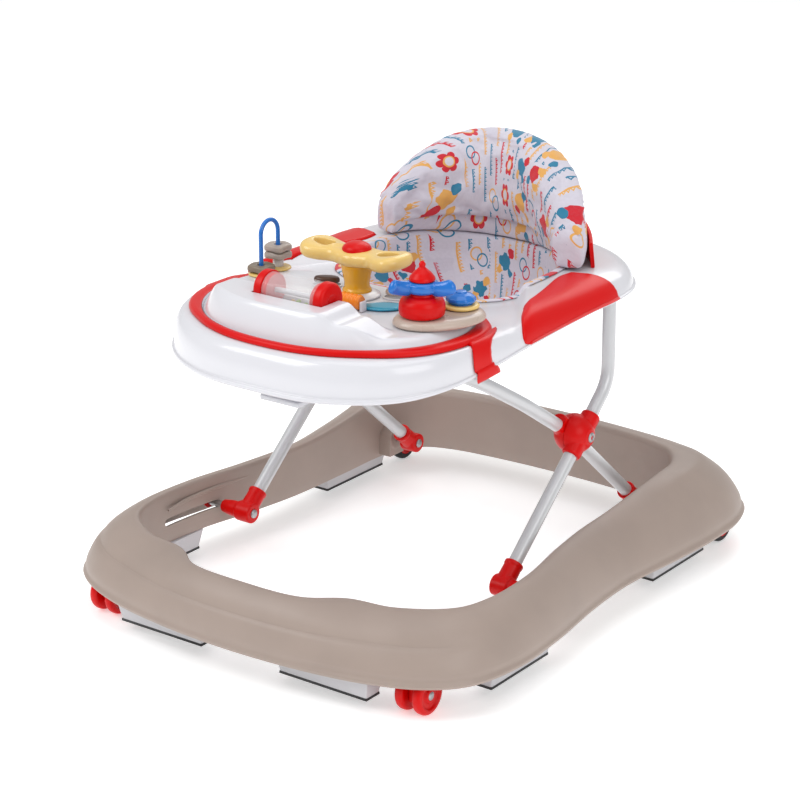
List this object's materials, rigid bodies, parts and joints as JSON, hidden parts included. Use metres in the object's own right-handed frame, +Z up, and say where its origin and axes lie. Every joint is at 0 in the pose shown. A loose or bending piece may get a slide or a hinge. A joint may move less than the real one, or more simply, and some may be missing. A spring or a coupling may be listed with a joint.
{
  "type": "baby walker",
  "caption": "Baby walker: moulded base ring on casters and wheels, folding scissor frame, seat ring with fabric seat, padded backrest and a toy tray.",
  "frame": {"origin": "on the floor, under the middle of the whole walker's box, 13.7 mm behind the point its drawing is measured from", "axes": "+Z up, -Y towards the toy tray (the way the child faces), x = 0 is the plane of symmetry of the base and frame"},
  "size_m": [0.585, 0.7538, 0.51],
  "materials": {
    "base_plastic": "satin moulded, taupe",
    "pad_plastic": "matt moulded, light grey, on a thin black rubber strip",
    "red_plastic": "glossy moulded, bright red",
    "tyre_rubber": "matt black",
    "leg_steel": "powder-coated, light grey",
    "bolt_steel": "zinc plated",
    "white_plastic": "glossy moulded, white",
    "printed_fabric": null,
    "clear_plastic": "clear moulded",
    "yellow_plastic": "glossy moulded, yellow",
    "dark_yellow_plastic": "glossy moulded, darker yellow",
    "bowl_plastic": "satin moulded, taupe",
    "blue_plastic": "glossy moulded, blue",
    "blue_wire": "plastic-coated wire, blue",
    "dark_plastic": "glossy moulded, dark brown",
    "orange_plastic": "glossy moulded, orange"
  },
  "bodies": {
    "base": {"base_ring": "base_plastic", "brake_pad_front_right": "pad_plastic", "brake_pad_front_left": "pad_plastic", "brake_pad_side_right": "pad_plastic", "brake_pad_side_left": "pad_plastic", "brake_pad_rear_right": "pad_plastic", "brake_pad_rear_left": "pad_plastic", "rear_wheel_bracket_right": "red_plastic", "rear_wheel_bracket_left": "red_plastic"},
    "front_frame": {"front_frame_tube": "leg_steel", "pinned_foot_right": "red_plastic", "pinned_foot_left": "red_plastic", "hub_inner_right": "red_plastic", "hub_inner_left": "red_plastic"},
    "rear_frame": {"rear_leg_right": "leg_steel", "rear_leg_left": "leg_steel", "sliding_foot_right": "red_plastic", "sliding_foot_left": "red_plastic", "hub_outer_right": "red_plastic", "hub_outer_left": "red_plastic", "hub_bolt_right": "bolt_steel", "hub_bolt_left": "bolt_steel"},
    "ring": {"seat_ring": "white_plastic", "armrest_panel_right": "red_plastic", "armrest_panel_left": "red_plastic", "height_rack": "white_plastic", "seat_fabric": "printed_fabric", "backrest_cushion": "printed_fabric", "backrest_support": "red_plastic", "tray_shell": "white_plastic", "tray_trim": "red_plastic", "steering_column": "dark_yellow_plastic", "toy_bowl": "bowl_plastic", "propeller_tower": "red_plastic", "bead_arch": "blue_wire"},
    "height_lever": {"height_lever": "white_plastic"},
    "rattle": {"rattle_drum": "clear_plastic", "rattle_cap_right": "red_plastic", "rattle_cap_left": "red_plastic"},
    "steering_wheel": {"steering_wheel": "yellow_plastic"},
    "horn_button": {"horn_button": "red_plastic"},
    "propeller": {"propeller": "blue_plastic", "propeller_cone": "red_plastic"},
    "turning_knob": {"turning_knob": "blue_plastic"},
    "dark_key": {"dark_key": "dark_plastic"},
    "light_key": {"light_key": "bowl_plastic"},
    "ribbed_roller": {"ribbed_roller": "orange_plastic"},
    "bead_front": {"bead_front": "dark_plastic"},
    "bead_rear_lower": {"bead_rear_lower": "bowl_plastic"},
    "bead_rear_upper": {"bead_rear_upper": "bowl_plastic"},
    "caster_right": {"caster_fork_right": "red_plastic"},
    "caster_outer_wheel_right": {"caster_wheel_outer_right": "red_plastic"},
    "caster_inner_wheel_right": {"caster_wheel_inner_right": "red_plastic"},
    "rear_wheel_right": {"rear_wheel_hub_right": "red_plastic", "rear_wheel_tyre_right": "tyre_rubber"},
    "caster_left": {"caster_fork_left": "red_plastic"},
    "caster_outer_wheel_left": {"caster_wheel_outer_left": "red_plastic"},
    "caster_inner_wheel_left": {"caster_wheel_inner_left": "red_plastic"},
    "rear_wheel_left": {"rear_wheel_hub_left": "red_plastic", "rear_wheel_tyre_left": "tyre_rubber"}
  },
  "joints": [
    {"name": "frame_fold", "type": "hinge", "parent": "base", "child": "front_frame", "pos_m": [0, 0.21232, 0.064], "axis": [1, 0, 0], "range_deg": [0, 24]},
    {"name": "frame_scissor", "type": "hinge", "parent": "front_frame", "child": "rear_frame", "pos_m": [0, 0.05433, 0.199], "axis": [1, 0, 0], "range_deg": [-48, 0]},
    {"name": "ring_tilt", "type": "hinge", "parent": "rear_frame", "child": "ring", "pos_m": [0, 0.12433, 0.35], "axis": [1, 0, 0], "range_deg": [0, 33.6]},
    {"name": "lever_press", "type": "slide", "parent": "ring", "child": "height_lever", "axis": [0, 0, 1], "range_m": [0, 0.004], "stiffness_N_per_m": 600},
    {"name": "rattle_spin", "type": "hinge", "parent": "ring", "child": "rattle", "pos_m": [-0.002, -0.22968, 0.406], "axis": [1, 0, 0], "continuous": true},
    {"name": "steering_turn", "type": "hinge", "parent": "ring", "child": "steering_wheel", "pos_m": [0, -0.12568, 0.425], "axis": [0, 0, 1], "range_deg": [-90, 90]},
    {"name": "horn_press", "type": "slide", "parent": "steering_wheel", "child": "horn_button", "axis": [0, 0, -1], "range_m": [0, 0.003], "stiffness_N_per_m": 500},
    {"name": "propeller_spin", "type": "hinge", "parent": "ring", "child": "propeller", "pos_m": [0.122, -0.16968, 0.42], "axis": [0, 0, 1], "continuous": true},
    {"name": "knob_turn", "type": "hinge", "parent": "ring", "child": "turning_knob", "pos_m": [0.139, -0.12068, 0.4], "axis": [0, 0, 1], "continuous": true},
    {"name": "dark_key_press", "type": "slide", "parent": "ring", "child": "dark_key", "axis": [0, 0, -1], "range_m": [0, 0.004], "stiffness_N_per_m": 400},
    {"name": "light_key_press", "type": "slide", "parent": "ring", "child": "light_key", "axis": [0, 0, -1], "range_m": [0, 0.004], "stiffness_N_per_m": 400},
    {"name": "roller_spin", "type": "hinge", "parent": "ring", "child": "ribbed_roller", "pos_m": [0.027, -0.17168, 0.3894], "axis": [1, 0, 0], "continuous": true},
    {"name": "bead_front_slide", "type": "slide", "parent": "ring", "child": "bead_front", "axis": [0, 0, 1], "range_m": [0, 0.03]},
    {"name": "bead_rear_slide", "type": "slide", "parent": "ring", "child": "bead_rear_upper", "axis": [0, 0, 1], "range_m": [0, 0.016]},
    {"name": "bead_rear_spin", "type": "hinge", "parent": "ring", "child": "bead_rear_lower", "pos_m": [-0.138, -0.09567, 0.397], "axis": [0, 0, 1], "continuous": true},
    {"name": "caster_swivel_right", "type": "hinge", "parent": "base", "child": "caster_right", "pos_m": [0.22, -0.30968, 0.055], "axis": [0, 0, 1], "continuous": true},
    {"name": "caster_outer_roll_right", "type": "hinge", "parent": "caster_right", "child": "caster_outer_wheel_right", "pos_m": [0.22, -0.30968, 0.0225], "axis": [1, 0, 0], "continuous": true},
    {"name": "caster_inner_roll_right", "type": "hinge", "parent": "caster_right", "child": "caster_inner_wheel_right", "pos_m": [0.22, -0.30968, 0.0225], "axis": [1, 0, 0], "continuous": true},
    {"name": "rear_wheel_roll_right", "type": "hinge", "parent": "base", "child": "rear_wheel_right", "pos_m": [0.244, 0.29433, 0.0225], "axis": [1, 0, 0], "continuous": true},
    {"name": "caster_swivel_left", "type": "hinge", "parent": "base", "child": "caster_left", "pos_m": [-0.22, -0.30968, 0.055], "axis": [0, 0, 1], "continuous": true},
    {"name": "caster_outer_roll_left", "type": "hinge", "parent": "caster_left", "child": "caster_outer_wheel_left", "pos_m": [-0.22, -0.30968, 0.0225], "axis": [1, 0, 0], "continuous": true},
    {"name": "caster_inner_roll_left", "type": "hinge", "parent": "caster_left", "child": "caster_inner_wheel_left", "pos_m": [-0.22, -0.30968, 0.0225], "axis": [1, 0, 0], "continuous": true},
    {"name": "rear_wheel_roll_left", "type": "hinge", "parent": "base", "child": "rear_wheel_left", "pos_m": [-0.244, 0.29433, 0.0225], "axis": [1, 0, 0], "continuous": true}
  ],
  "couplings": [
    {"joint": "frame_scissor", "follows": "frame_fold", "ratio": -2},
    {"joint": "ring_tilt", "follows": "frame_fold", "ratio": 1.4}
  ]
}
